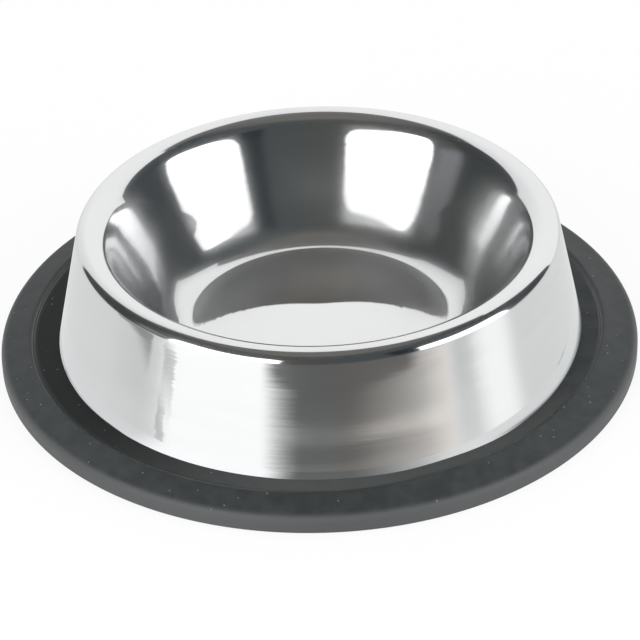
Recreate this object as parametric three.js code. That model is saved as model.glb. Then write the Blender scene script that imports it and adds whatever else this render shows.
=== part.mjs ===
// Stainless steel cat bowl that doesn't tip: a deep-drawn steel dish with a wide conical skirt, and a
// rubber ring that grips the flange at the skirt's foot. Millimetres, +Z up, with the origin on the
// ground at the middle of the ring.

import * as THREE from 'three';

// Overall width, and the widths that follow from the outside inwards
const ringOuterDiameter = 150;
const ringWallBeyondFlange = 3.2;
const flangeWidth = 9.5;

// Levels above the ground
const rimHeight = 33;
const floorClearance = 5;
const ringFootThickness = 1.9;

// The steel sheet, its slopes from level and its bends
const sheetThickness = 0.6;
const skirtSlope = THREE.MathUtils.degToRad(78);
const wallSlope = THREE.MathUtils.degToRad(67);
const shoulderTurn = THREE.MathUtils.degToRad(10);
const rimOuterRoll = 2.8;
const rimInnerRoll = 5.2;
const shoulderRadius = 70;
const wallBendTurn = THREE.MathUtils.degToRad(27);
const wallBendRadius = 26;
const floorBendRadius = 8.5;
const skirtFootBendRadius = 2.5;

// The rubber ring's section
const gripClearance = 0.3;
const gripDepth = 4.5;
const ringLipThickness = 2.6;
const ringStepHeight = 1.2;
const ringShelfGap = 0.25;
const ringShelfEdge = 0.6;
const ringShelfTaper = 2;
const ringTopFall = 1.3;
const ringFootReach = 2;
const ringLipRounding = 0.8;
const ringEdgeRounding = 1.3;
const ringFootRounding = 0.5;
const ringShelfRounding = 0.25;
const treadGrooveCount = 2;
const treadGrooveWidth = 1.2;
const treadGrooveDepth = 0.6;
const treadGroovePitch = 2.4;

// Fineness of the round shapes
const segmentsRound = 72;
const floorBendSteps = 4;
const wallBendSteps = 3;
const shoulderSteps = 2;
const rimRollSteps = 5;
const footBendSteps = 4;
const roundingSteps = 3;

// Directions in the section, as angles from outward
const upward = Math.PI / 2;
const downward = -Math.PI / 2;

const steel = new THREE.MeshStandardMaterial({ color: 0xd9dbdd, roughness: 0.08, metalness: 1 });
const rubber = new THREE.MeshStandardMaterial({ color: 0x3d4041, roughness: 0.75, metalness: 0 });

// Radii and levels of the flange that the two pieces share
const ringOuterRadius = ringOuterDiameter / 2;
const grooveRadius = ringOuterRadius - ringWallBeyondFlange;
const flangeRadius = grooveRadius - gripClearance;
const flangeUnderside = ringFootThickness + gripClearance;
const flangeTop = flangeUnderside + sheetThickness;
const footRadius = flangeRadius - flangeWidth;
const floorTop = floorClearance + sheetThickness;

// Outline points closer than this are one point
const samePoint = 0.001;

// Turns an outline of radius and height round the vertical axis
function turned(name, outline, material) {
  const geometry = new THREE.LatheGeometry(outline, segmentsRound);
  geometry.rotateX(upward);
  const mesh = new THREE.Mesh(geometry, material);
  mesh.name = name;
  return mesh;
}

// A point at a distance from a centre, in the direction of an angle
function reach(centre, distance, angle) {
  return new THREE.Vector2(distance, 0).rotateAround(new THREE.Vector2(), angle).add(centre);
}

// Points along a round bend
function bendPoints(centre, radius, from, to, steps) {
  const points = [];
  for (let step = 0; step <= steps; step += 1) {
    points.push(reach(centre, radius, THREE.MathUtils.lerp(from, to, step / steps)));
  }
  return points;
}

// The dish's bends from the floor outwards. A hollow bend has its centre on the open side of the sheet.
function dishBends() {
  const rollSlope = wallSlope - shoulderTurn;
  const lowSlope = wallSlope - wallBendTurn;

  const skirtFall = rimHeight - flangeTop - rimOuterRoll * (1 - Math.cos(skirtSlope));
  const crestRadius = footRadius - skirtFall / Math.tan(skirtSlope) - rimOuterRoll * Math.sin(skirtSlope);
  const outerRoll = new THREE.Vector2(crestRadius, rimHeight - rimOuterRoll);
  const innerRoll = new THREE.Vector2(crestRadius, rimHeight - rimInnerRoll);

  const shoulderTop = reach(innerRoll, rimInnerRoll, upward + rollSlope);
  const shoulder = reach(shoulderTop, shoulderRadius, downward + rollSlope);
  const wallTop = reach(shoulder, shoulderRadius, upward + wallSlope);

  const floorBendRise = floorBendRadius * (1 - Math.cos(lowSlope));
  const wallBendRise = wallBendRadius * (Math.cos(lowSlope) - Math.cos(wallSlope));
  const wallFootHeight = floorTop + floorBendRise + wallBendRise;
  const wallRun = (wallTop.y - wallFootHeight) / Math.tan(wallSlope);
  const wallFoot = new THREE.Vector2(wallTop.x - wallRun, wallFootHeight);
  const wallBend = reach(wallFoot, wallBendRadius, upward + wallSlope);
  const wallBendFoot = reach(wallBend, wallBendRadius, downward + lowSlope);
  const floorBend = reach(wallBendFoot, floorBendRadius, upward + lowSlope);

  const footCut = skirtFootBendRadius * Math.tan(skirtSlope / 2);
  const footBend = new THREE.Vector2(footRadius + footCut, flangeTop + skirtFootBendRadius);

  return [
    { centre: floorBend, radius: floorBendRadius, from: downward, to: downward + lowSlope,
      steps: floorBendSteps, hollow: true },
    { centre: wallBend, radius: wallBendRadius, from: downward + lowSlope, to: downward + wallSlope,
      steps: wallBendSteps, hollow: true },
    { centre: shoulder, radius: shoulderRadius, from: upward + wallSlope, to: upward + rollSlope,
      steps: shoulderSteps, hollow: false },
    { centre: innerRoll, radius: rimInnerRoll, from: upward + rollSlope, to: upward,
      steps: rimRollSteps, hollow: false },
    { centre: outerRoll, radius: rimOuterRoll, from: upward, to: upward - skirtSlope,
      steps: rimRollSteps, hollow: false },
    { centre: footBend, radius: skirtFootBendRadius, from: 3 * upward - skirtSlope, to: 3 * upward,
      steps: footBendSteps, hollow: true },
  ];
}

// One skin of the sheet, from the axis to the flange's edge, at a depth below the polished side
function sheetSkin(bends, depth) {
  const points = [new THREE.Vector2(0, floorTop - depth)];
  for (const bend of bends) {
    const radius = bend.hollow ? bend.radius + depth : bend.radius - depth;
    points.push(...bendPoints(bend.centre, radius, bend.from, bend.to, bend.steps));
  }
  points.push(new THREE.Vector2(flangeRadius, flangeTop - depth));
  return points;
}

// Leaves out a point that repeats the one before it
function withoutRepeats(points) {
  return points.filter((point, index) => index === 0 || point.distanceTo(points[index - 1]) > samePoint);
}

// Replaces each corner of a closed outline by an arc of its own radius, or keeps it sharp where it has none
function roundedOutline(corners) {
  const outline = [];
  corners.forEach(({ at, rounding }, index) => {
    if (!rounding) {
      outline.push(at);
      return;
    }
    const before = corners.at(index - 1).at;
    const after = corners[(index + 1) % corners.length].at;
    const towardsBefore = before.clone().sub(at).normalize();
    const towardsAfter = after.clone().sub(at).normalize();
    const halfAngle = towardsBefore.angleTo(towardsAfter) / 2;
    const cut = rounding / Math.tan(halfAngle);
    const middle = towardsBefore.clone().add(towardsAfter).normalize();
    const centre = at.clone().addScaledVector(middle, rounding / Math.sin(halfAngle));
    const start = at.clone().addScaledVector(towardsBefore, cut).sub(centre).angle();
    const end = at.clone().addScaledVector(towardsAfter, cut).sub(centre).angle();
    const turn = Math.atan2(Math.sin(end - start), Math.cos(end - start));
    outline.push(...bendPoints(centre, rounding, start, start + turn, roundingSteps));
  });
  return outline;
}

// Corners of the grooves in the ring's foot that keep it from sliding, from the inside outwards
function treadCorners(footInnerRadius) {
  const middle = (footInnerRadius + ringOuterRadius) / 2;
  const corners = [];
  for (let groove = 0; groove < treadGrooveCount; groove += 1) {
    const centre = middle + (groove - (treadGrooveCount - 1) / 2) * treadGroovePitch;
    const near = centre - treadGrooveWidth / 2;
    const far = centre + treadGrooveWidth / 2;
    corners.push(
      { at: new THREE.Vector2(near, 0) },
      { at: new THREE.Vector2(near, treadGrooveDepth) },
      { at: new THREE.Vector2(far, treadGrooveDepth) },
      { at: new THREE.Vector2(far, 0) },
    );
  }
  return corners;
}

function steelDish() {
  const bends = dishBends();
  const hiddenSide = sheetSkin(bends, sheetThickness);
  const polishedSide = sheetSkin(bends, 0).reverse();
  return turned('steel_dish', withoutRepeats([...hiddenSide, ...polishedSide]), steel);
}

// The ring grips the flange between its foot and a thin shelf, which reaches in to the skirt from a raised lip
function rubberRing() {
  const lipRadius = flangeRadius - gripDepth;
  const footInnerRadius = lipRadius - ringFootReach;
  const grooveTop = flangeTop + gripClearance;
  const lipTop = grooveTop + ringLipThickness;
  const shelfTop = lipTop - ringStepHeight;
  const shelfRadius = footRadius + ringShelfGap;
  const corners = [
    { at: new THREE.Vector2(footInnerRadius, 0), rounding: ringFootRounding },
    ...treadCorners(footInnerRadius),
    { at: new THREE.Vector2(ringOuterRadius, 0), rounding: ringFootRounding },
    { at: new THREE.Vector2(ringOuterRadius, lipTop - ringTopFall), rounding: ringEdgeRounding },
    { at: new THREE.Vector2(lipRadius, lipTop), rounding: ringLipRounding },
    { at: new THREE.Vector2(lipRadius, shelfTop) },
    { at: new THREE.Vector2(shelfRadius, shelfTop), rounding: ringShelfRounding },
    { at: new THREE.Vector2(shelfRadius, shelfTop - ringShelfEdge) },
    { at: new THREE.Vector2(shelfRadius + ringShelfTaper, grooveTop) },
    { at: new THREE.Vector2(grooveRadius, grooveTop) },
    { at: new THREE.Vector2(grooveRadius, ringFootThickness) },
    { at: new THREE.Vector2(footInnerRadius, ringFootThickness) },
  ];
  const outline = roundedOutline(corners);
  return turned('rubber_ring', [...outline, outline[0]], rubber);
}

const bowl = new THREE.Group();
bowl.add(steelDish(), rubberRing());

export default bowl;
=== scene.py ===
import cmath
import math
from collections import namedtuple

import bpy
from mathutils import Matrix, Vector


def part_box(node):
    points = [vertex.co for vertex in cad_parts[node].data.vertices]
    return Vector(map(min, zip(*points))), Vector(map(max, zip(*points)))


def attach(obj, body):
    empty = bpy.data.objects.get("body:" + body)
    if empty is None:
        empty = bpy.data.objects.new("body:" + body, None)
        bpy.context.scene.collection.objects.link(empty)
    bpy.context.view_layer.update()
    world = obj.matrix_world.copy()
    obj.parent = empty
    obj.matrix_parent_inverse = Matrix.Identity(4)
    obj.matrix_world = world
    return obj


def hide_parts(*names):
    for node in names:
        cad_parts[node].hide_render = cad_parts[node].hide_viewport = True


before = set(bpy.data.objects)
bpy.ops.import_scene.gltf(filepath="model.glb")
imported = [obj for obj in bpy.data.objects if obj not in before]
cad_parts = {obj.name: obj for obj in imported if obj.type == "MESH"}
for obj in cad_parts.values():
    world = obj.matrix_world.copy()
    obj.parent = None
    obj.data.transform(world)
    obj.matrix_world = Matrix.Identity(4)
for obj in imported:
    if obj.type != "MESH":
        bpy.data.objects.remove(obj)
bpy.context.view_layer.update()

MM = 0.001

# Sizes that the construction fixes, from the two pieces' boxes
ring_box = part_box("rubber_ring")
dish_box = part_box("steel_dish")
RING_OUTER_RADIUS = ring_box[1].x
FLANGE_RADIUS = dish_box[1].x
FLANGE_UNDERSIDE = dish_box[0].z
RIM_HEIGHT = dish_box[1].z

# The steel sheet, its slopes from level and its bends
SHEET = 0.6 * MM
FLOOR_TOP = 5.6 * MM
FLANGE_WIDTH = 9.5 * MM
FLANGE_TOP = FLANGE_UNDERSIDE + SHEET
SKIRT_FOOT_RADIUS = FLANGE_RADIUS - FLANGE_WIDTH
SKIRT_SLOPE = math.radians(78)
WALL_SLOPE = math.radians(63.5)
SHOULDER_TURN = math.radians(5.8)
RIM_OUTER_ROLL = 2.8 * MM
RIM_INNER_ROLL = 5.2 * MM
SHOULDER_RADIUS = 30 * MM
WALL_BEND_TURN = math.radians(8)
WALL_BEND_RADIUS = 50 * MM
FLOOR_BEND_RADIUS = 9.7 * MM
FLOOR_DOME_SLOPE = math.tan(math.radians(2.1))
FLOOR_DOME_ROUNDING = 4 * MM
SKIRT_FOOT_BEND = 2.5 * MM
CUT_EDGE_ROUNDING = 0.15 * MM

# The rubber ring's section
GRIP_CLEARANCE = 0.3 * MM
GRIP_DEPTH = 4.5 * MM
LIP_RADIUS = FLANGE_RADIUS - GRIP_DEPTH
LIP_THICKNESS = 2.6 * MM
STEP_HEIGHT = 0.9 * MM
SHELF_OVERLAP = 0.6 * MM
SHELF_EDGE = 0.3 * MM
SHELF_TAPER = 2 * MM
RING_FOOT_THICKNESS = 1.9 * MM
RING_TOP_FALL = 1.3 * MM
RING_FOOT_REACH = 2 * MM
RING_WALL = 3.2 * MM
LIP_ROUNDING = 0.8 * MM
EDGE_ROUNDING = 2.2 * MM
SHELF_ROUNDING = 0.1 * MM
CREASE_WIDTH = 0.6 * MM
CREASE_DEPTH = 0.8 * MM
FOOT_ROUNDING = 0.5 * MM
CORNER_ROUNDING = 0.15 * MM
TREAD_GROOVES = 2
TREAD_WIDTH = 1.2 * MM
TREAD_DEPTH = 0.6 * MM
TREAD_PITCH = 2.4 * MM

# How the pieces sit: the dish and the ring's shelf a little to the right, the lip a little to the left
DISH_OFFSET = (0.4 * MM, 0, 0)
LIP_SHIFT = (-0.6 * MM, 0, 0)
SHELF_SHIFT = (0.8 * MM, -0.4 * MM, 0)

# Where the ring rides up or sags: the share that moves, its rise, its azimuth and how narrow the place is
Lift = namedtuple("Lift", "share rise azimuth narrowness")
RING_LIFTS = {
    "Front lift": Lift("lip", 0.8 * MM, math.radians(26), 40),
    "Side lift": Lift("lip", 1.2 * MM, math.radians(75), 5),
    "Shelf drop": Lift("shelf", -1.1 * MM, math.radians(35), 8),
}
LIFT_INPUTS = ("", " azimuth", " narrowness")

# The slight unevenness of the drawn sheet
SHEET_RIPPLE = 0.03 * MM
RIPPLE_SIZE = 35 * MM
RIPPLE_DETAIL = 1.0

# Fineness of the turned pieces
DISH_TURNS = 320
RING_TURNS = 288
OPEN_BEND_STEP = math.radians(2.5)
HIDDEN_BEND_STEP = math.radians(6)
CUT_EDGE_STEP = HIDDEN_BEND_STEP * 3
FEWEST_BEND_STEPS = 2
STRAIGHT_STEP = 2 * MM
DOME_STEPS = 30
SAME_POINT = 0.001 * MM
ROUNDING_GUARD = 0.0001

# The camera, from the ground under the bowl's axis
CAMERA_BACK = 543.1 * MM
CAMERA_HEIGHT = 364.0 * MM
CAMERA_PITCH = math.radians(33.43)
CAMERA_HEADING = math.radians(0.03)
CAMERA_ROLL = math.radians(-1.753)
CAMERA_NEAREST = 10 * MM
SENSOR_WIDTH = 36
FOCAL_LENGTH = 154.97

UP = math.pi / 2
DOWN = -math.pi / 2
DEGREES = 180 / math.pi
WHITE = (1, 1, 1, 1)


class Wire:
    """One output of a node. Arithmetic on it adds Math nodes to its tree."""

    def __init__(self, graph, socket):
        self.graph = graph
        self.socket = socket

    def math(self, operation, *values):
        return self.graph.node("ShaderNodeMath", {"operation": operation}, [self, *values])

    def __add__(self, other):
        return self.math("ADD", other)

    def __sub__(self, other):
        return self.math("SUBTRACT", other)

    def __mul__(self, other):
        return self.math("MULTIPLY", other)

    def __truediv__(self, other):
        return self.math("DIVIDE", other)

    def __rsub__(self, other):
        return self.graph.node("ShaderNodeMath", {"operation": "SUBTRACT"}, [other, self])

    __radd__ = __add__
    __rmul__ = __mul__

    def between(self, low, high):
        """0 below low, 1 above high and a smooth rise between them."""
        limits = {"Value": self, "From Min": low, "From Max": high}
        return self.graph.node("ShaderNodeMapRange", {"interpolation_type": "SMOOTHSTEP"}, limits)

    def blend(self, first, last):
        """The first value where this is 0, the last where it is 1, and in proportion between."""
        return first + self * (last - first)


class Graph:
    """A node tree that grows by one method: a node's type, its settings, its sockets' values or links."""

    MIX_FACTOR, MIX_FIRST, MIX_SECOND = 0, 6, 7
    MIX_RESULT = 2

    def __init__(self, tree):
        self.tree = tree

    def node(self, kind, settings=None, sockets=(), output=0):
        node = self.tree.nodes.new(kind)
        for name, value in (settings or {}).items():
            setattr(node, name, value)
        pairs = sockets.items() if isinstance(sockets, dict) else enumerate(sockets)
        for key, value in pairs:
            if isinstance(value, Wire):
                self.tree.links.new(value.socket, node.inputs[key])
            else:
                node.inputs[key].default_value = value
        return Wire(self, node.outputs[output]) if len(node.outputs) else node

    def parts(self, vector):
        """The X, Y and Z of a vector."""
        separated = self.node("ShaderNodeSeparateXYZ", sockets=[vector]).socket.node
        return [Wire(self, output) for output in separated.outputs]

    def vector(self, x, y, z):
        return self.node("ShaderNodeCombineXYZ", sockets=[x, y, z])

    def vectors(self, operation, *values):
        """Vector arithmetic."""
        return self.node("ShaderNodeVectorMath", {"operation": operation}, values)

    def scaled(self, vector, factor):
        """A vector made longer or shorter."""
        sockets = {"Vector": vector, "Scale": factor}
        return self.node("ShaderNodeVectorMath", {"operation": "SCALE"}, sockets)

    def mixed(self, factor, first, second):
        """A colour between two colours."""
        sockets = {self.MIX_FACTOR: factor, self.MIX_FIRST: first, self.MIX_SECOND: second}
        return self.node("ShaderNodeMix", {"data_type": "RGBA"}, sockets, self.MIX_RESULT)

    def noise(self, vector, scale=1.0, detail=0.0):
        """A smooth random pattern about 0.5."""
        return self.node("ShaderNodeTexNoise", None, {"Vector": vector, "Scale": scale, "Detail": detail})

    def object_place(self):
        return self.node("ShaderNodeTexCoord", output="Object")

    def normal(self):
        return self.node("ShaderNodeNewGeometry", output="Normal")

    def attribute(self, name):
        """A value that the piece's points carry."""
        return self.node("ShaderNodeAttribute", {"attribute_name": name}, output="Fac")

    def ray(self, kind):
        """1 for light of that kind and 0 for other light."""
        return self.node("ShaderNodeLightPath", output=kind)

    def glow(self, colour, strength=1.0):
        return self.node("ShaderNodeEmission", None, {"Color": colour, "Strength": strength})

    def show(self, surface):
        """Makes a shader the material's surface."""
        self.node("ShaderNodeOutputMaterial", None, {"Surface": surface})


# Points of a section are complex numbers: the radius, and the height as the imaginary part

def reach(centre, distance, angle):
    """The point at a distance from a centre, in the direction of an angle from outward."""
    return centre + cmath.rect(distance, angle)


def bend(centre, radius, start, end, step):
    """Points along a round bend."""
    count = max(FEWEST_BEND_STEPS, math.ceil(abs(end - start) / step))
    return [reach(centre, radius, start + (end - start) * i / count) for i in range(count + 1)]


def dish_bends():
    """The dish's bends from the floor outwards: centre, radius, first and last angle, whether hollow."""
    roll_slope = WALL_SLOPE - SHOULDER_TURN
    low_slope = WALL_SLOPE - WALL_BEND_TURN

    skirt_fall = RIM_HEIGHT - FLANGE_TOP - RIM_OUTER_ROLL * (1 - math.cos(SKIRT_SLOPE))
    skirt_run = skirt_fall / math.tan(SKIRT_SLOPE)
    crest_radius = SKIRT_FOOT_RADIUS - skirt_run - RIM_OUTER_ROLL * math.sin(SKIRT_SLOPE)
    outer_roll = complex(crest_radius, RIM_HEIGHT - RIM_OUTER_ROLL)
    inner_roll = complex(crest_radius, RIM_HEIGHT - RIM_INNER_ROLL)

    shoulder_top = reach(inner_roll, RIM_INNER_ROLL, UP + roll_slope)
    shoulder = reach(shoulder_top, SHOULDER_RADIUS, DOWN + roll_slope)
    wall_top = reach(shoulder, SHOULDER_RADIUS, UP + WALL_SLOPE)

    floor_bend_rise = FLOOR_BEND_RADIUS * (1 - math.cos(low_slope))
    wall_bend_rise = WALL_BEND_RADIUS * (math.cos(low_slope) - math.cos(WALL_SLOPE))
    wall_foot_height = FLOOR_TOP + floor_bend_rise + wall_bend_rise
    wall_run = (wall_top.imag - wall_foot_height) / math.tan(WALL_SLOPE)
    wall_foot = complex(wall_top.real - wall_run, wall_foot_height)
    wall_bend = reach(wall_foot, WALL_BEND_RADIUS, UP + WALL_SLOPE)
    wall_bend_foot = reach(wall_bend, WALL_BEND_RADIUS, DOWN + low_slope)
    floor_bend = reach(wall_bend_foot, FLOOR_BEND_RADIUS, UP + low_slope)

    foot_cut = SKIRT_FOOT_BEND * math.tan(SKIRT_SLOPE / 2)
    foot_bend = complex(SKIRT_FOOT_RADIUS + foot_cut, FLANGE_TOP + SKIRT_FOOT_BEND)
    return [
        (floor_bend, FLOOR_BEND_RADIUS, DOWN, DOWN + low_slope, True),
        (wall_bend, WALL_BEND_RADIUS, DOWN + low_slope, DOWN + WALL_SLOPE, True),
        (shoulder, SHOULDER_RADIUS, UP + WALL_SLOPE, UP + roll_slope, False),
        (inner_roll, RIM_INNER_ROLL, UP + roll_slope, UP, False),
        (outer_roll, RIM_OUTER_ROLL, UP, UP - SKIRT_SLOPE, False),
        (foot_bend, SKIRT_FOOT_BEND, 3 * UP - SKIRT_SLOPE, 3 * UP, True),
    ]


def sheet_skin(depth, step):
    """One skin of the sheet from the axis to the skirt's foot, at a depth below the polished side."""
    bends = dish_bends()
    floor_radius = bends[0][0].real
    points = []
    for i in range(DOME_STEPS):
        radius = floor_radius * i / DOME_STEPS
        fall = math.hypot(floor_radius, FLOOR_DOME_ROUNDING) - math.hypot(radius, FLOOR_DOME_ROUNDING)
        points.append(complex(radius, FLOOR_TOP - depth + FLOOR_DOME_SLOPE * fall))
    for centre, radius, start, end, hollow in bends:
        points += bend(centre, radius + depth if hollow else radius - depth, start, end, step)
    return points


def without_repeats(points):
    """Leaves out a point that lies on the one before it."""
    pairs = zip(points, points[1:])
    return [points[0], *[point for before, point in pairs if abs(point - before) > SAME_POINT]]


def finely(points):
    """Adds points on long straight stretches."""
    fine = [points[0]]
    for start, end in zip(points, points[1:]):
        count = max(1, math.ceil(abs(end - start) / STRAIGHT_STEP))
        fine += [start + (end - start) * i / count for i in range(1, count + 1)]
    return fine


def rounded(corners):
    """A closed outline whose corners, each a point and its rounding, are replaced by arcs."""
    outline = []
    for index, (corner, rounding) in enumerate(corners):
        before = corners[index - 1][0] - corner
        after = corners[(index + 1) % len(corners)][0] - corner
        before /= abs(before)
        after /= abs(after)
        half = abs(cmath.phase(after / before)) / 2
        middle = before + after
        centre = corner + middle / abs(middle) * rounding / math.sin(half)
        start = corner + before * rounding / math.tan(half) - centre
        end = corner + after * rounding / math.tan(half) - centre
        turn = cmath.phase(end / start)
        count = max(FEWEST_BEND_STEPS, math.ceil(abs(turn) / HIDDEN_BEND_STEP))
        outline += [centre + start * cmath.rect(1, turn * i / count) for i in range(count + 1)]
    return outline


def dish_section():
    """The closed section of the sheet, hidden side first, with each point's share of being hidden."""
    edge_radius = FLANGE_RADIUS - CUT_EDGE_ROUNDING
    low = complex(edge_radius, FLANGE_UNDERSIDE + CUT_EDGE_ROUNDING)
    high = complex(edge_radius, FLANGE_TOP - CUT_EDGE_ROUNDING)
    edge = bend(low, CUT_EDGE_ROUNDING, DOWN, 0, CUT_EDGE_STEP)
    edge += bend(high, CUT_EDGE_ROUNDING, 0, UP, CUT_EDGE_STEP)

    hidden = finely(without_repeats(sheet_skin(SHEET, HIDDEN_BEND_STEP)))
    polished = finely(without_repeats(sheet_skin(0, OPEN_BEND_STEP)))[::-1]
    flange_below = finely([hidden[-1], edge[0]])[1:-1]
    flange_above = finely([edge[-1], polished[0]])[1:-1]
    outline = [*hidden, *flange_below, *edge, *flange_above, *polished]
    first_open = len(hidden) + len(flange_below) + len(edge)
    return outline, {"hidden": [1.0 if index < first_open else 0.0 for index in range(len(outline))]}


def ring_section():
    """The ring's closed section, with each point's shares of following its lip and its shelf."""
    foot_radius = LIP_RADIUS - RING_FOOT_REACH
    groove_radius = RING_OUTER_RADIUS - RING_WALL
    groove_top = FLANGE_TOP + GRIP_CLEARANCE
    lip_top = groove_top + LIP_THICKNESS
    shelf_top = lip_top - STEP_HEIGHT
    shelf_radius = SKIRT_FOOT_RADIUS - SHELF_OVERLAP
    middle = (foot_radius + RING_OUTER_RADIUS) / 2
    corners = [(complex(foot_radius, 0), FOOT_ROUNDING)]
    for groove in range(TREAD_GROOVES):
        centre = middle + (groove - (TREAD_GROOVES - 1) / 2) * TREAD_PITCH
        near = centre - TREAD_WIDTH / 2
        far = centre + TREAD_WIDTH / 2
        corners += [(complex(near, 0), CORNER_ROUNDING), (complex(near, TREAD_DEPTH), CORNER_ROUNDING)]
        corners += [(complex(far, TREAD_DEPTH), CORNER_ROUNDING), (complex(far, 0), CORNER_ROUNDING)]
    corners += [
        (complex(RING_OUTER_RADIUS, 0), FOOT_ROUNDING),
        (complex(RING_OUTER_RADIUS, lip_top - RING_TOP_FALL), EDGE_ROUNDING),
        (complex(LIP_RADIUS, lip_top), LIP_ROUNDING),
        (complex(LIP_RADIUS, shelf_top - CREASE_DEPTH), CORNER_ROUNDING),
        (complex(LIP_RADIUS - CREASE_WIDTH, shelf_top), CORNER_ROUNDING),
        (complex(shelf_radius, shelf_top), SHELF_ROUNDING),
        (complex(shelf_radius, shelf_top - SHELF_EDGE), CORNER_ROUNDING),
        (complex(shelf_radius + SHELF_TAPER, groove_top), CORNER_ROUNDING),
        (complex(groove_radius, groove_top), CORNER_ROUNDING),
        (complex(groove_radius, RING_FOOT_THICKNESS), CORNER_ROUNDING),
        (complex(foot_radius, RING_FOOT_THICKNESS), CORNER_ROUNDING),
    ]
    outline = rounded(corners)
    outline = finely(without_repeats([*outline, outline[0]]))
    shares = {"lip": [], "shelf": []}
    for point in outline:
        above = point.imag > groove_top - SAME_POINT
        for share, start, end in (("lip", groove_radius, LIP_RADIUS), ("shelf", LIP_RADIUS, shelf_radius)):
            inwards = (start - point.real) / (start - end)
            shares[share].append(min(1.0, max(0.0, inwards)) if above else 0.0)
    return outline, shares


def new_object(name, mesh):
    """An object in the scene."""
    made = bpy.data.objects.new(name, mesh)
    bpy.context.scene.collection.objects.link(made)
    return made


def section_object(name, outline, shares):
    """An object of the section's line, whose points carry its length so far and their shares."""
    mesh = bpy.data.meshes.new(name)
    edges = [(index, index + 1) for index in range(len(outline) - 1)]
    mesh.from_pydata([(point.real, 0, point.imag) for point in outline], edges, [])
    lengths = [0.0]
    for start, end in zip(outline, outline[1:]):
        lengths.append(lengths[-1] + abs(end - start))
    for attribute_name, values in {"along": lengths, **shares}.items():
        attribute = mesh.attributes.new(attribute_name, "FLOAT", "POINT")
        attribute.data.foreach_set("value", values)
    return new_object(name, mesh)


def new_tree(name, inputs):
    """A geometry tree with named inputs, each a name and a socket type."""
    tree = bpy.data.node_groups.new(name, "GeometryNodeTree")
    tree.interface.new_socket("Geometry", in_out="INPUT", socket_type="NodeSocketGeometry")
    for input_name, kind in inputs:
        tree.interface.new_socket(input_name, in_out="INPUT", socket_type=kind)
    tree.interface.new_socket("Geometry", in_out="OUTPUT", socket_type="NodeSocketGeometry")
    graph = Graph(tree)
    first = graph.node("NodeGroupInput").socket.node
    wires = {output.name: Wire(graph, output) for output in first.outputs if output.name}
    return tree, graph, wires


def turning_tree(name, shares, lifts):
    """A tree that turns a section's line round the axis, and shifts and lifts the shares of it."""
    tree, graph, given = new_tree(name, [
        ("Turns", "NodeSocketInt"),
        ("Offset", "NodeSocketVector"),
        *[(share + " shift", "NodeSocketVector") for share in shares],
        *[(lift + part, "NodeSocketFloat") for lift in lifts for part in LIFT_INPUTS],
        ("Ripple", "NodeSocketFloat"),
        ("Ripple size", "NodeSocketFloat"),
        ("Finish", "NodeSocketMaterial"),
    ])
    section = given["Geometry"]
    rows = graph.node("GeometryNodeAttributeDomainSize", {"component": "MESH"}, [section])
    grid = graph.node("GeometryNodeMeshGrid", None, {"Vertices X": given["Turns"] + 1, "Vertices Y": rows})

    index = graph.node("GeometryNodeInputIndex")
    column = (index / rows + ROUNDING_GUARD).math("FLOOR")
    row = index - column * rows
    angle = column / given["Turns"] * math.tau

    def sampled(kind, value):
        """The section's value on a point's row."""
        settings = {"data_type": kind, "domain": "POINT"}
        sockets = {"Geometry": section, "Value": value, "Index": row}
        return graph.node("GeometryNodeSampleIndex", settings, sockets)

    def named(attribute):
        field = graph.node("GeometryNodeInputNamedAttribute", {"data_type": "FLOAT"}, {"Name": attribute})
        return sampled("FLOAT", field)

    radius, _, height = graph.parts(sampled("FLOAT_VECTOR", graph.node("GeometryNodeInputPosition")))
    along = named("along")
    followed = {share: named(share) for share in shares}
    round_x = angle.math("SINE")
    round_y = angle.math("COSINE") * -1
    turned = graph.vector(radius * round_x, radius * round_y, height)

    ripple = graph.noise(graph.vectors("DIVIDE", turned, given["Ripple size"]), detail=RIPPLE_DETAIL)
    ripple = (ripple - 0.5) * given["Ripple"] * 2
    rise = ripple
    for place, lift in lifts.items():
        facing = (angle - given[place + " azimuth"]).math("COSINE").math("MAXIMUM", 0)
        nearness = facing.math("POWER", given[place + " narrowness"])
        rise = rise + nearness * given[place] * followed[lift.share]
    position = graph.vectors("ADD", turned, graph.vector(ripple * round_x, ripple * round_y, rise))
    position = graph.vectors("ADD", position, given["Offset"])
    for share, value in followed.items():
        position = graph.vectors("ADD", position, graph.scaled(given[share + " shift"], value))

    shape = graph.node("GeometryNodeSetPosition", None, {"Geometry": grid, "Position": position})
    for attribute, value in {"along": along, **followed}.items():
        settings = {"data_type": "FLOAT", "domain": "POINT"}
        stored = {"Geometry": shape, "Name": attribute, "Value": value}
        shape = graph.node("GeometryNodeStoreNamedAttribute", settings, stored)
    shape = graph.node("GeometryNodeMergeByDistance", None, {"Geometry": shape, "Distance": SAME_POINT})
    shape = graph.node("GeometryNodeSetShadeSmooth", None, {"Geometry": shape})
    shape = graph.node("GeometryNodeRealizeInstances", None, {"Geometry": shape})
    shape = graph.node("GeometryNodeSetMaterial", None, {"Geometry": shape, "Material": given["Finish"]})
    graph.node("NodeGroupOutput", None, [shape])
    return tree


def grow(piece, tree, values):
    """Runs a geometry tree on a piece and keeps what it makes as the piece's plain mesh."""
    modifier = piece.modifiers.new("shape", "NODES")
    modifier.node_group = tree
    for item in tree.interface.items_tree:
        if item.name in values:
            modifier[item.identifier] = values[item.name]
    scene_state = bpy.context.evaluated_depsgraph_get()
    mesh = bpy.data.meshes.new_from_object(piece.evaluated_get(scene_state), depsgraph=scene_state)
    piece.modifiers.remove(modifier)
    piece.data = mesh


def new_finish(name):
    """An empty material and its graph."""
    material = bpy.data.materials.new(name)
    material.use_nodes = True
    material.node_tree.nodes.clear()
    return material, Graph(material.node_tree)


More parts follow.
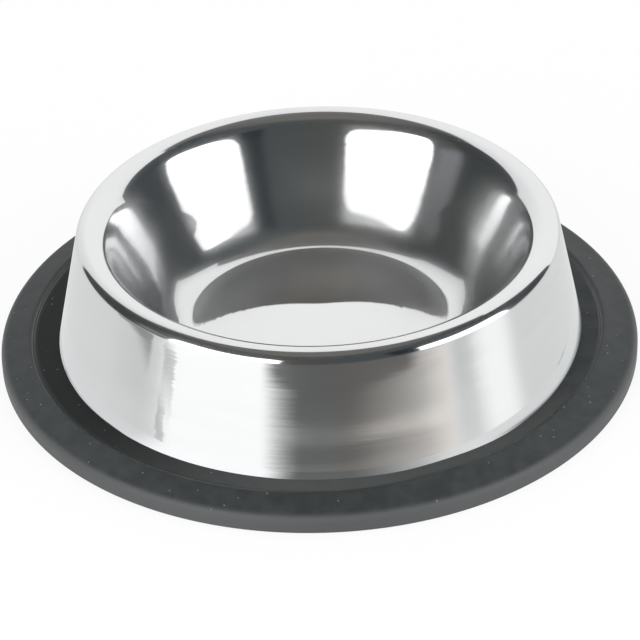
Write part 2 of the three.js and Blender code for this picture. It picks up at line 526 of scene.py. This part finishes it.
# The steel's tones, and the streaks and hairlines that polishing leaves round the axis and across
STEEL_DARK = (0.75, 0.755, 0.765, 1)
STEEL_LIGHT = (0.87, 0.872, 0.87, 1)
FINE_STREAKS = {"cells_round": 3, "width": 0.35 * MM, "detail": 2.0}
BROAD_STREAKS = {"cells_round": 2, "width": 4 * MM, "detail": 1.0}
FINE_TONE = 0.15
BROAD_TONE = 0.3
HAIRLINES = ({"slant": 0.9, "spacing": 0.14 * MM}, {"slant": -0.6, "spacing": 0.18 * MM})
HAIRLINE_LENGTH = 22 * MM
HAIRLINE_RADIUS = 30 * MM
HAIRLINE_EDGE = (0.66, 0.74)

# How far the streaks tilt the mirror sideways, on the inside and on the outside, and upwards
FINE_TILT = (0.02, 0.045)
BROAD_TILT = (0.008, 0.02)
FINE_TILT_UPWARDS = 0.003

# The mirror's roughness on the polished and the hidden side, and the haze that covers a share of it
MIRROR_ROUGHNESS = (0.025, 0.275)
HAZE_FINISH = {"Roughness": 0.26, "Anisotropic": 0.85, "Anisotropic Rotation": 0.25}
HAZE_EVERYWHERE = 0.13
HAZE_IN_CLOUDS = 0.25
HAZE_LOW_ON_WALL = 0.5
HAZE_ON_HAIRLINES = 0.05
CLOUD_SCALE = 40.0
CLOUD_DETAIL = 3.0
CLOUD_EDGE = (0.4, 0.75)

# Distances from the axis at which the steel's finish changes
AXIS_GUARD = 0.1 * MM
STREAKS_START = (4 * MM, 26 * MM)
WALL_HAZE_STARTS = (31 * MM, 36 * MM)
WALL_HAZE_ENDS = (41 * MM, 51 * MM)
HAIRLINES_END = (47 * MM, 51 * MM)
OUTSIDE_STARTS = (55.5 * MM, 56.5 * MM)


def polished_steel():
    """A sharp mirror under a haze from polishing, with a few scratches, and satin on the hidden side."""
    material, graph = new_finish("polished_steel")
    place = graph.object_place()
    x, y, _ = graph.parts(place)
    radius = (x * x + y * y).math("SQRT").math("MAXIMUM", AXIS_GUARD)
    round_x = x / radius
    round_y = y / radius
    along = graph.attribute("along")
    away_from_axis = radius.between(*STREAKS_START)
    outside = radius.between(*OUTSIDE_STARTS)
    low_on_wall = radius.between(*WALL_HAZE_STARTS) * (1 - radius.between(*WALL_HAZE_ENDS))

    def streaks(cells_round, width, detail):
        """Noise in long streaks round the axis, about zero."""
        streak = graph.vector(round_x * cells_round, round_y * cells_round, along / width)
        return graph.noise(streak, detail=detail) - 0.5

    def hairlines(slant, spacing):
        """Sparse hairlines that cross the streaks at a slant."""
        azimuth = round_x.math("ARCTAN2", round_y)
        across = azimuth * HAIRLINE_RADIUS + along * slant
        lengthwise = along - azimuth * HAIRLINE_RADIUS * slant
        hair = graph.vector(across / spacing, lengthwise / HAIRLINE_LENGTH, slant)
        return graph.noise(hair).between(*HAIRLINE_EDGE)

    fine = streaks(**FINE_STREAKS)
    broad = streaks(**BROAD_STREAKS)
    turn = (fine * outside.blend(*FINE_TILT) + broad * outside.blend(*BROAD_TILT)) * away_from_axis
    upwards = fine * FINE_TILT_UPWARDS * away_from_axis
    tilt = graph.vector(round_y * -1 * turn, round_x * turn, upwards)
    normal = graph.vectors("NORMALIZE", graph.vectors("ADD", graph.normal(), tilt))

    tone = 0.5 + (broad * BROAD_TONE + fine * FINE_TONE) * away_from_axis
    colour = graph.mixed(tone, STEEL_DARK, STEEL_LIGHT)
    base = {"Base Color": colour, "Metallic": 1.0, "Normal": normal}
    roughness = graph.attribute("hidden").blend(*MIRROR_ROUGHNESS)
    mirror = graph.node("ShaderNodeBsdfPrincipled", None, {**base, "Roughness": roughness})
    haze = graph.node("ShaderNodeBsdfPrincipled", None, {**base, **HAZE_FINISH})

    clouds = graph.noise(place, CLOUD_SCALE, CLOUD_DETAIL).between(*CLOUD_EDGE)
    scratches = sum(hairlines(**hairline) for hairline in HAIRLINES) * (1 - radius.between(*HAIRLINES_END))
    share = HAZE_EVERYWHERE + clouds * HAZE_IN_CLOUDS + low_on_wall * HAZE_LOW_ON_WALL
    share = (share + scratches * HAZE_ON_HAIRLINES) * away_from_axis
    graph.show(graph.node("ShaderNodeMixShader", None, [share, mirror, haze]))
    return material


# The rubber's tones, with painted light on its outer side and on the shelf's front right, and painted
# shade on the shelf's left
RUBBER_DARK = (0.033, 0.038, 0.039, 1)
RUBBER_PALE = (0.046, 0.052, 0.053, 1)
RUBBER_SIDE_PAINTED_LIGHT = (0.085, 0.088, 0.090, 1)
SHELF_PAINTED_SHADE = (0.008, 0.010, 0.010, 1)
SHELF_PAINTED_LIGHT = (0.12, 0.12, 0.12, 1)
DUST = (0.25, 0.26, 0.26, 1)
SHELF_PAINTED_SHADE_SHARE = 0.7
SHELF_PAINTED_LIGHT_SHARE = 0.5

# The rubber's mottle, its grain and its specks of dust
MOTTLE_SCALE = 300.0
MOTTLE_DETAIL = 5.0
MOTTLE_EDGE = (0.3, 0.7)
GRAIN_SCALE = 2600.0
GRAIN_DETAIL = 2.0
SPECK_SCALE = 330.0
SPECK_EDGE = (0.03, 0.08)
SPECK_CHOICE = (0.82, 0.86)

# Where the rubber's tone, its painted light and its painted shade change: how far it faces up, its share
# of the shelf, its right and front side
TOP_FACING = (0.55, 0.99)
SPECK_FACING = (0.5, 0.8)
SHELF_SHARE = (0.0, 0.25)
RIGHT_SIDE = (-0.9, 0.0)
FRONT_SIDE = (20 * MM, 55 * MM)

# The rubber's roughness, sheen and relief
RUBBER_ROUGHNESS = 0.42
MOTTLE_ROUGHNESS = 0.16
SHELF_ROUGHNESS = 0.25
RUBBER_SHEEN = 0.3
MOTTLE_RELIEF = 0.6
GRAIN_RELIEF = 0.4
RELIEF_STRENGTH = 0.5
RELIEF_DEPTH = 0.03 * MM


def black_rubber():
    """Moulded rubber: matt and faintly mottled, with a fine grain and a few pale specks of dust, painted
    light on its outer side and the shelf's front right, and painted shade on the shelf's left.
    """
    material, graph = new_finish("black_rubber")
    place = graph.object_place()
    x, y, _ = graph.parts(place)
    mottle = graph.noise(place, MOTTLE_SCALE, MOTTLE_DETAIL)
    grain = graph.noise(place, GRAIN_SCALE, GRAIN_DETAIL)

    def specks(output):
        """One output of a pattern of cells, seen from above."""
        settings = {"voronoi_dimensions": "2D", "feature": "F1"}
        sockets = {"Vector": graph.vector(x, y, 0.0), "Scale": SPECK_SCALE}
        return graph.node("ShaderNodeTexVoronoi", settings, sockets, output)

    choice, strength, _ = graph.parts(specks("Color"))
    speck = (1 - specks("Distance").between(*SPECK_EDGE)) * choice.between(*SPECK_CHOICE) * strength

    shelf = graph.attribute("shelf").between(*SHELF_SHARE)
    upward = graph.parts(graph.normal())[2]
    right = (x / (x * x + y * y).math("SQRT")).between(*RIGHT_SIDE)
    front = (y * -1).between(*FRONT_SIDE)
    colour = graph.mixed(mottle.between(*MOTTLE_EDGE), RUBBER_DARK, RUBBER_PALE)
    # Painted light: the sides that face outwards are paler than the top, as if the studio light fell on
    # them more
    colour = graph.mixed(upward.between(*TOP_FACING), RUBBER_SIDE_PAINTED_LIGHT, colour)
    # Painted shade: the shelf is darkened on the left, where the lip and the dish shade it
    colour = graph.mixed(shelf * (1 - right) * SHELF_PAINTED_SHADE_SHARE, colour, SHELF_PAINTED_SHADE)
    # Painted light: the shelf is paler at the front and on the right, as if lit there
    colour = graph.mixed(shelf * front * right * SHELF_PAINTED_LIGHT_SHARE, colour, SHELF_PAINTED_LIGHT)
    colour = graph.mixed(speck * upward.between(*SPECK_FACING), colour, DUST)

    relief = mottle * MOTTLE_RELIEF + grain * GRAIN_RELIEF
    bump = {"Strength": RELIEF_STRENGTH, "Distance": RELIEF_DEPTH, "Height": relief}
    graph.show(graph.node("ShaderNodeBsdfPrincipled", None, {
        "Base Color": colour,
        "Roughness": RUBBER_ROUGHNESS + mottle * MOTTLE_ROUGHNESS + shelf * SHELF_ROUGHNESS,
        "Specular IOR Level": RUBBER_SHEEN,
        "Normal": graph.node("ShaderNodeBump", None, bump),
    }))
    return material


def steel_dish():
    """The drawn dish with its skirt and flange."""
    outline, shares = dish_section()
    piece = section_object("polished_dish", outline, shares)
    grow(piece, turning_tree("turned_sheet", list(shares), {}), {
        "Turns": DISH_TURNS, "Offset": DISH_OFFSET, "hidden shift": (0, 0, 0),
        "Ripple": SHEET_RIPPLE, "Ripple size": RIPPLE_SIZE, "Finish": polished_steel(),
    })
    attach(piece, "root")
    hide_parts("steel_dish")


def rubber_ring():
    """The moulded ring that grips the flange. The steel mirrors the foot card in its place."""
    outline, shares = ring_section()
    piece = section_object("moulded_ring", outline, shares)
    values = {
        "Turns": RING_TURNS, "Offset": (0, 0, 0), "lip shift": LIP_SHIFT, "shelf shift": SHELF_SHIFT,
        "Ripple": 0.0, "Ripple size": RIPPLE_SIZE, "Finish": black_rubber(),
    }
    for place, lift in RING_LIFTS.items():
        for part, value in zip(LIFT_INPUTS, (lift.rise, lift.azimuth, lift.narrowness)):
            values[place + part] = value
    grow(piece, turning_tree("turned_ring", list(shares), RING_LIFTS), values)
    piece.visible_glossy = False
    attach(piece, "root")
    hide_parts("rubber_ring")


def place_camera():
    """The photograph's view: a long lens in front, looking down on the bowl, a little tilted."""
    lens = bpy.data.cameras.new("camera")
    lens.sensor_width = SENSOR_WIDTH
    lens.lens = FOCAL_LENGTH
    lens.clip_start = CAMERA_NEAREST
    heading = Matrix.Rotation(-CAMERA_HEADING, 4, "Z")
    pitch = Matrix.Rotation(UP - CAMERA_PITCH, 4, "X")
    roll = Matrix.Rotation(CAMERA_ROLL, 4, "Z")
    camera = new_object("camera", lens)
    camera.matrix_world = Matrix.Translation((0, -CAMERA_BACK, CAMERA_HEIGHT)) @ heading @ pitch @ roll
    bpy.context.scene.camera = camera


# The studio's panels: azimuths from the camera's side to the right, elevations. The back right stays open.
PANELS = {
    "low_surroundings": ((-180, 180), (-90, 0)),
    "front_surroundings": ((-180, 122), (0, 54)),
    "overhead_surroundings": ((-180, 180), (54, 90)),
}
PANEL_DISTANCE = 2.6
PANEL_STEPS = 24
SOFT_LIGHTS = {
    "left_soft_light": ((-70, -20), (2, 43)),
    "right_soft_light": ((42, 88), (2, 43)),
}
SOFT_LIGHT_DISTANCE = 1.6
SOFT_LIGHT_STRENGTH = 3.0
STUDIO_FLOOR_REACH = 6.0
FLOOR_TONE = (0.95, 0.95, 0.95, 1)
FLOOR_WHITENESS = 0.85
WORLD_STRENGTH = (0.8, 1.0)

# A patch of the surroundings: azimuths, elevations, the rounding and softness of its edge, and its share
Patch = namedtuple("Patch", "azimuths elevations rounding softness share", defaults=(1.0,))

# The room's tones above the floor
CEILING = (0.152, 0.152, 0.145, 1)
ROOM_LEFT = (0.084, 0.088, 0.083, 1)
ROOM_RIGHT = (0.072, 0.081, 0.085, 1)
ROOM_SHADE = (0.022, 0.028, 0.033, 1)
GREY_BOARD_TONE = (0.30, 0.31, 0.33, 1)
WARM_STRIP_TONE = (0.2, 0.18, 0.155, 1)
PAPER_LEFT = (0.80, 0.82, 0.82, 1)
SOFT_LIGHT_TONE = (2.2, 2.2, 2.2, 1)

# What stands in the room, as the steel mirrors it
LEFT_LIGHT = Patch((-68, -17.5), (-30, 32), 9, 1.5)
RIGHT_LIGHT = Patch((43, 88), (-30, 30), 9, 1.5)
SHADES = (
    Patch((30, 45), (4, 40), 4, 3),
    Patch((88, 124), (2, 60), 5, 8, 0.55),
    Patch((-132, -89), (2, 60), 5, 8, 0.55),
)
WARM_STRIP = Patch((-60, 60), (76, 83), 3, 4)
GREY_BOARD = Patch((-86, -72), (7, 22), 4, 4, 0.7)

# Where the room changes, in degrees. The paper's tint changes with the sine of the azimuth.
ROOM_TINT_CHANGES = (-20, 35)
ROOM_TOP = (58, 76)
ROOM_LEFT_EDGE = (-131, -128)
ROOM_RIGHT_EDGE = (122, 125)
PAPER_TINT_CHANGES = (-0.95, -0.05)
PAPER_TOP = (50, 62)
PAPER_TOP_RISES = (115, 165)
PAPER_TOP_EDGE = (-2, 2)
HORIZON = (-3, -1)

# The pale floor of the studio, brighter under the two lights, with the dark feet of stands on both sides
FLOOR_BRIGHTNESS = 0.8
FLOOR_GLOWS = (
    Patch((-70, -21), (-60, 30), 9, 6, 0.38),
    Patch((70, 88), (-60, 30), 9, 6, 0.3),
)
STANDS = (
    Patch((-98, -77), (-15.4, -5), 3, 0.7, 0.68),
    Patch((57, 66), (-15, -9), 3, 4, 0.25),
    Patch((-71, -65), (-14.6, -13), 0.8, 0.8, 0.5),
    Patch((-72, -68), (-16.4, -15.2), 0.6, 0.5, 0.4),
)
WARM_FLOOR = Patch((6, 54), (-18, -7), 3, 6)
COOL_TINT = (0.985, 1, 0.995, 1)
WARM_TINT = (1.06, 1, 0.93, 1)

# The dark middle of the studio floor, which the front of the skirt mirrors, with a pale band across it
SKIRT_LINE_BEND = 0.0009
UPPER_PART = (-10.2, -9.75)
LOWER_PART = (-12.1, -11.9)
BAND_LOW_EDGE = (-11.5, -11.25)
BAND_HIGH_EDGE = (-11.1, -10.75)
BAND_BRIGHTENS = (2, 26)
BAND_BRIGHTNESS = (0.08, 0.22)
LOWER_BRIGHTNESS = 0.06
MIDDLE_BRIGHTNESS = (0.145, 0.125)
MIDDLE_DIMS = (-10.8, -10.2)
MIDDLE_STARTS = -26
MIDDLE_FULL = (-9, -18)
MIDDLE_ENDS = (42, 57)

# The paler right of the dark middle: where it starts and is full, each low and high on the skirt
PALE_STARTS = (7, 35)
PALE_FULL = (22, 44)
PALE_BRIGHTNESS = (0.06, 0.42)
PALE_BRIGHTENS = (12, 52)

# The card at the skirt's foot, whose glow is a painted reflection of the rubber ring and the studio floor:
# its sizes, its tones and the azimuths at which they change
FOOT_CARD_BEYOND_LIP = 2 * MM
FOOT_CARD_RADII = (SKIRT_FOOT_RADIUS, LIP_RADIUS + FOOT_CARD_BEYOND_LIP)
FOOT_CARD_HEIGHT = FLANGE_UNDERSIDE * 2
FOOT_CARD_STEPS = 96
FOOT_PALE = 0.82
FOOT_GLOW = 0.36
FOOT_DARK = 0.15
FOOT_RED_SHARE = 0.98
FOOT_GLOW_STARTS = (-48, -36)
FOOT_MIDDLE_STARTS = (-14, -5)
FOOT_MIDDLE_ENDS = (4, 34)
FOOT_RING_STARTS = (36, 50)
FOOT_RING_ENDS = (90, 125)
FOOT_RING_REACH = (SKIRT_FOOT_RADIUS + 0.6 * MM, SKIRT_FOOT_RADIUS + 2.6 * MM)


def direction(azimuth, elevation):
    """A direction from the bowl."""
    turn = azimuth / DEGREES
    rise = elevation / DEGREES
    return Vector((math.sin(turn) * math.cos(rise), -math.cos(turn) * math.cos(rise), math.sin(rise)))


class Surroundings:
    """The direction from the bowl at each point of the surroundings, for shader arithmetic."""

    def __init__(self, graph):
        x, y, z = graph.parts(graph.object_place())
        level = (x * x + y * y).math("SQRT")
        self.graph = graph
        self.sideways = x / level
        self.azimuth = x.math("ARCTAN2", y * -1) * DEGREES
        self.elevation = z.math("ARCTAN2", level) * DEGREES

    def inside(self, patch):
        """1 inside a patch and 0 outside it."""
        sides = []
        for value, (low, high) in ((self.azimuth, patch.azimuths), (self.elevation, patch.elevations)):
            beyond = (value - (low + high) / 2).math("ABSOLUTE") - ((high - low) / 2 - patch.rounding)
            sides.append(beyond.math("MAXIMUM", 0))
        corner = (sides[0] * sides[0] + sides[1] * sides[1]).math("SQRT") - patch.rounding
        return 1 - corner.between(-patch.softness, patch.softness)

    def covered(self, *patches):
        """The sum of patches, each by its share."""
        return sum(self.inside(patch) * patch.share for patch in patches)


def room_colour(around):
    """The room above the floor: dark in front, white paper behind and grey overhead."""
    mixed = around.graph.mixed
    front = mixed(around.azimuth.between(*ROOM_TINT_CHANGES), ROOM_LEFT, ROOM_RIGHT)
    front = mixed(around.elevation.between(*ROOM_TOP), front, CEILING)
    front = mixed(around.covered(WARM_STRIP), front, WARM_STRIP_TONE)
    front = mixed(around.covered(*SHADES), front, ROOM_SHADE)

    paper = mixed(around.sideways.between(*PAPER_TINT_CHANGES), PAPER_LEFT, WHITE)
    paper_top = around.azimuth.math("ABSOLUTE").between(*PAPER_TOP_RISES).blend(*PAPER_TOP)
    back = mixed((around.elevation - paper_top).between(*PAPER_TOP_EDGE), paper, CEILING)

    in_front = around.azimuth.between(*ROOM_LEFT_EDGE) * (1 - around.azimuth.between(*ROOM_RIGHT_EDGE))
    return mixed(around.covered(GREY_BOARD), mixed(in_front, back, front), GREY_BOARD_TONE)


def studio_floor_colour(around):
    """The pale studio floor with its dark middle."""
    azimuth = around.azimuth
    # Lines that lie level on the skirt rise towards the middle of the studio floor
    skirt_line = around.elevation + azimuth * azimuth * SKIRT_LINE_BEND
    upper = skirt_line.between(*UPPER_PART)
    lower = 1 - skirt_line.between(*LOWER_PART)
    band = skirt_line.between(*BAND_LOW_EDGE) * (1 - skirt_line.between(*BAND_HIGH_EDGE))
    band_brightness = azimuth.math("ABSOLUTE").between(*BAND_BRIGHTENS).blend(*BAND_BRIGHTNESS)
    pale_brightness = azimuth.between(*PALE_BRIGHTENS).blend(*PALE_BRIGHTNESS)
    pale_right = azimuth.between(upper.blend(*PALE_STARTS), upper.blend(*PALE_FULL)) * pale_brightness
    middle = azimuth.between(MIDDLE_STARTS, upper.blend(*MIDDLE_FULL))
    middle = middle * (1 - azimuth.between(*MIDDLE_ENDS))

    pale = (FLOOR_BRIGHTNESS + around.covered(*FLOOR_GLOWS)) * (1 - around.covered(*STANDS))
    dark = skirt_line.between(*MIDDLE_DIMS).blend(*MIDDLE_BRIGHTNESS)
    dark = dark + band * band_brightness + lower * LOWER_BRIGHTNESS + pale_right
    tint = around.graph.mixed(around.covered(WARM_FLOOR), COOL_TINT, WARM_TINT)
    return around.graph.scaled(tint, pale * (1 - middle) + dark * middle)


def surroundings_finish():
    """The studio as the steel mirrors it: the room, its floor and two soft lights."""
    material, graph = new_finish("surroundings")
    around = Surroundings(graph)
    above_floor = around.elevation.between(*HORIZON)
    colour = graph.mixed(above_floor, studio_floor_colour(around), room_colour(around))
    lights = around.covered(LEFT_LIGHT, RIGHT_LIGHT) * above_floor
    graph.show(graph.glow(graph.mixed(lights, colour, SOFT_LIGHT_TONE)))
    return material


def foot_card_finish():
    """What the skirt's foot mirrors, as a painted reflection: the dark ring on the right, the studio floor
    elsewhere.
    """
    material, graph = new_finish("foot_card")
    x, y, _ = graph.parts(graph.object_place())
    azimuth = x.math("ARCTAN2", y * -1) * DEGREES
    in_middle = azimuth.between(*FOOT_MIDDLE_STARTS)
    near = 1 - (x * x + y * y).math("SQRT").between(*FOOT_RING_REACH)
    ring = azimuth.between(*FOOT_RING_STARTS) * (1 - azimuth.between(*FOOT_RING_ENDS)) * near
    dark = in_middle * (1 - azimuth.between(*FOOT_MIDDLE_ENDS)) + ring
    glow = azimuth.between(*FOOT_GLOW_STARTS) * (1 - in_middle) * FOOT_GLOW
    tone = (FOOT_PALE + glow) * (1 - dark) + dark * FOOT_DARK
    graph.show(graph.glow(graph.node("ShaderNodeCombineColor", None, [tone * FOOT_RED_SHARE, tone, tone])))
    return material


def soft_light_finish():
    """The soft lights' plain white glow."""
    material, graph = new_finish("soft_light")
    graph.show(graph.glow(WHITE, SOFT_LIGHT_STRENGTH))
    return material


def floor_finish():
    """A pale floor that keeps the bowl's shadow and is white where the camera sees it."""
    material, graph = new_finish("pale_floor")
    matt = graph.node("ShaderNodeBsdfDiffuse", None, {"Color": FLOOR_TONE})
    white_share = graph.ray("Is Camera Ray") * FLOOR_WHITENESS
    graph.show(graph.node("ShaderNodeMixShader", None, [white_share, matt, graph.glow(WHITE)]))
    return material


def staged(name, vertices, faces, material):
    """A card or floor of the stage."""
    mesh = bpy.data.meshes.new(name)
    mesh.from_pydata(vertices, [], faces)
    mesh.materials.append(material)
    card = new_object(name, mesh)
    return card


def only_mirrored(card):
    """Makes a card show in the metal only."""
    card.visible_camera = False
    card.visible_shadow = False
    card.visible_diffuse = False
    return card


def panel(name, azimuths, elevations, distance, material):
    """A curved panel round the bowl. It shows in the metal, not to the camera."""
    vertices = []
    for i in range(PANEL_STEPS + 1):
        azimuth = azimuths[0] + (azimuths[1] - azimuths[0]) * i / PANEL_STEPS
        for j in range(PANEL_STEPS + 1):
            elevation = elevations[0] + (elevations[1] - elevations[0]) * j / PANEL_STEPS
            vertices.append(direction(azimuth, elevation) * distance)
    faces = []
    for i in range(PANEL_STEPS):
        for j in range(PANEL_STEPS):
            corner = i * (PANEL_STEPS + 1) + j
            beside = corner + PANEL_STEPS + 1
            faces.append((corner, corner + 1, beside + 1, beside))
    return only_mirrored(staged(name, vertices, faces, material))


def foot_card():
    """A flat ring-shaped glowing card at the skirt's foot, a painted reflection that stands for what the
    foot mirrors.
    """
    vertices = []
    for i in range(FOOT_CARD_STEPS):
        angle = math.tau * i / FOOT_CARD_STEPS
        for radius in FOOT_CARD_RADII:
            vertices.append((radius * math.cos(angle), radius * math.sin(angle), FOOT_CARD_HEIGHT))
    faces = []
    for i in range(FOOT_CARD_STEPS):
        after = (i + 1) % FOOT_CARD_STEPS
        faces.append((2 * i, 2 * i + 1, 2 * after + 1, 2 * after))
    only_mirrored(staged("foot_card", vertices, faces, foot_card_finish()))


def studio_floor():
    """The floor that the bowl stands on. The steel mirrors the surroundings' floor in its place."""
    sides = ((-1, -1), (1, -1), (1, 1), (-1, 1))
    corners = [(x * STUDIO_FLOOR_REACH, y * STUDIO_FLOOR_REACH, 0) for x, y in sides]
    floor = staged("floor", corners, [(0, 1, 2, 3)], floor_finish())
    floor.visible_glossy = False


def surroundings():
    """The panels that the steel mirrors, and the two soft lights for the floor and the rubber."""
    seen = surroundings_finish()
    for name, (azimuths, elevations) in PANELS.items():
        panel(name, azimuths, elevations, PANEL_DISTANCE, seen)
    glowing = soft_light_finish()
    for name, (azimuths, elevations) in SOFT_LIGHTS.items():
        light = panel(name, azimuths, elevations, SOFT_LIGHT_DISTANCE, glowing)
        light.visible_diffuse = True
        light.visible_glossy = False


def white_world():
    """A white world, a little dimmer where it lights the matt pieces than where it is seen or mirrored."""
    world = bpy.data.worlds.new("studio")
    bpy.context.scene.world = world
    world.use_nodes = True
    world.node_tree.nodes.clear()
    graph = Graph(world.node_tree)
    seen = graph.ray("Is Camera Ray") + graph.ray("Is Glossy Ray") + graph.ray("Is Transmission Ray")
    strength = seen.math("MINIMUM", 1).blend(*WORLD_STRENGTH)
    background = graph.node("ShaderNodeBackground", None, {"Color": WHITE, "Strength": strength})
    graph.node("ShaderNodeOutputWorld", None, {"Surface": background})


steel_dish()
rubber_ring()
place_camera()
studio_floor()
foot_card()
surroundings()
white_world()
bpy.context.scene.view_settings.view_transform = "Standard"
